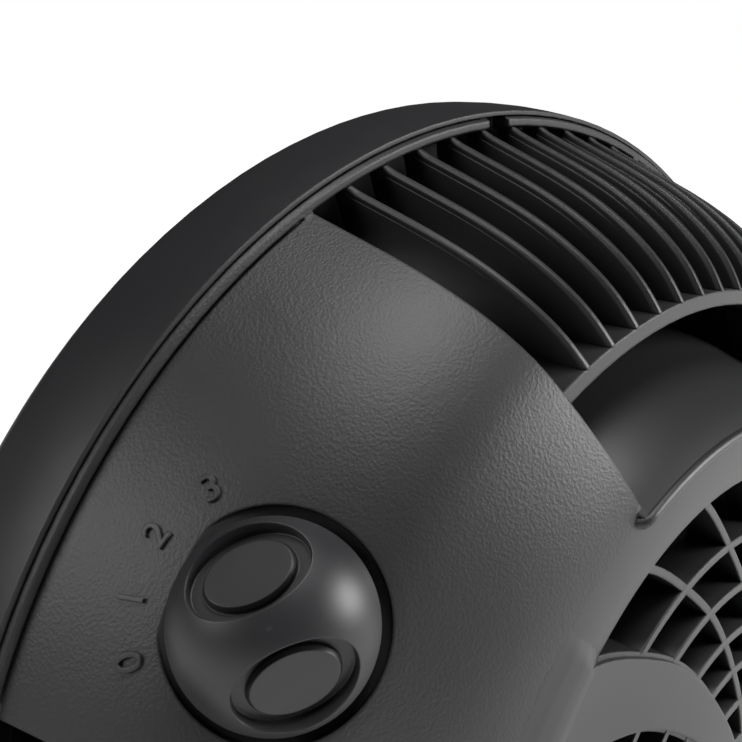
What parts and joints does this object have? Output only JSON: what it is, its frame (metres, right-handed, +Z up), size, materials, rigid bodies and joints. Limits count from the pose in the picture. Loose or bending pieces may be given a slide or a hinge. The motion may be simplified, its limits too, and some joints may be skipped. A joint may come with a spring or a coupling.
{
  "type": "floor fan",
  "caption": "Round air-circulator floor fan with a finned rear housing, handle pocket, speed knob and a tilting head on a U-shaped stand.",
  "frame": {"origin": "middle of the stand's base, on the floor", "axes": "+Z up, -Y is the way the air leaves, +Y is the rear with the knob, X across between the two pivots"},
  "size_m": [0.2688, 0.15, 0.2824],
  "materials": {
    "charcoal_plastic": "fine grained moulded",
    "satin_plastic": "smooth satin moulded",
    "black_plastic": "moulded",
    "zinc_steel": "zinc plated",
    "rubber_black": "matt",
    "nylon": "natural nylon",
    "core_steel": "laminated",
    "copper_wire": "enamelled copper wire",
    "cast_alloy": "die cast",
    "bronze": "sintered bronze",
    "shaft_steel": "ground",
    "grey_plastic": "moulded"
  },
  "bodies": {
    "stand": {"stand": "charcoal_plastic", "bottom_plate": "black_plastic", "plate_screws": "zinc_steel", "rubber_feet": "rubber_black", "friction_washers": "nylon", "pivot_caps": "charcoal_plastic"},
    "head": {"front_housing": "satin_plastic", "front_grille": "charcoal_plastic", "grille_cap": "satin_plastic", "rear_housing": "charcoal_plastic", "housing_screws": "zinc_steel", "stator_core": "core_steel", "windings": "copper_wire", "motor_front_bracket": "cast_alloy", "motor_rear_bracket": "cast_alloy", "front_bearing": "bronze", "rear_bearing": "bronze", "bracket_bolts": "zinc_steel", "mount_screws": "zinc_steel", "switch_body": "black_plastic", "switch_nut": "zinc_steel", "cord_gland": "rubber_black", "capacitor": "grey_plastic", "capacitor_clip": "zinc_steel", "pivot_bolts": "zinc_steel", "pivot_nuts": "zinc_steel"},
    "rotor": {"motor_shaft": "shaft_steel", "rotor_core": "core_steel", "fan_blade": "black_plastic", "blade_nut": "black_plastic"},
    "knob": {"speed_knob": "satin_plastic", "switch_shaft": "nylon"}
  },
  "joints": [
    {"name": "tilt", "type": "hinge", "parent": "stand", "child": "head", "pos_m": [0, 0, 0.162], "axis": [-1, 0, 0], "range_deg": [-15, 90]},
    {"name": "spin", "type": "hinge", "parent": "head", "child": "rotor", "pos_m": [0, 0, 0.162], "axis": [0, 1, 0], "continuous": true},
    {"name": "speed", "type": "hinge", "parent": "head", "child": "knob", "pos_m": [0.07973, 0.04038, 0.22208], "axis": [0.595, 0.667, 0.4484], "range_deg": [-73, 0]}
  ]
}
